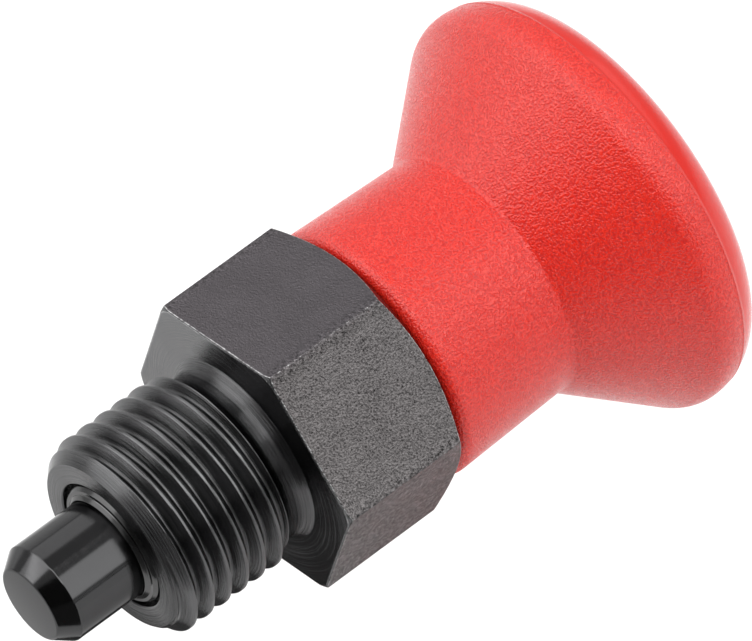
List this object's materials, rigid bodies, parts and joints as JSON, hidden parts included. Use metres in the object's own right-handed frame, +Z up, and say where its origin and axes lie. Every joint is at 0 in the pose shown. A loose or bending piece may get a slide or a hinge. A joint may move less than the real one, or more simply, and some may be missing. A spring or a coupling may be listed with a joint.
{
  "type": "indexing plunger",
  "caption": "Spring-loaded indexing plunger: a threaded sleeve with a hexagon collar holds a round locating pin that a mushroom grip pulls back.",
  "frame": {"origin": "on the plunger's axis in the plane of the hexagon's front face, which seats on the plate that the thread is screwed into", "axes": "+X along the axis, from the nose of the pin towards the mushroom grip; +Z up through the middle of a flat of the hexagon; +Y towards a corner of the hexagon"},
  "size_m": [0.036, 0.021, 0.021],
  "materials": {
    "black_oxide_steel": "black-oxidised turned steel, satin",
    "bush_steel": "turned steel, oiled",
    "pin_steel": "blackened and ground steel, satin",
    "spring_steel": "drawn spring wire",
    "grip_red": "moulded thermoplastic, fine grain"
  },
  "bodies": {
    "sleeve": {"threaded_sleeve": "black_oxide_steel", "guide_bush": "bush_steel"},
    "spring": {"compression_spring": "spring_steel"},
    "plunger": {"indexing_pin": "pin_steel", "mushroom_grip": "grip_red"}
  },
  "joints": [
    {"name": "turn", "type": "hinge", "parent": "sleeve", "child": "spring", "pos_m": [0, 0, 0], "axis": [1, 0, 0], "continuous": true},
    {"name": "pull", "type": "slide", "parent": "spring", "child": "plunger", "axis": [1, 0, 0], "range_m": [0, 0.005], "stiffness_N_per_m": 1400, "springref_m": -0.00357, "deforming": ["compression_spring"]}
  ]
}
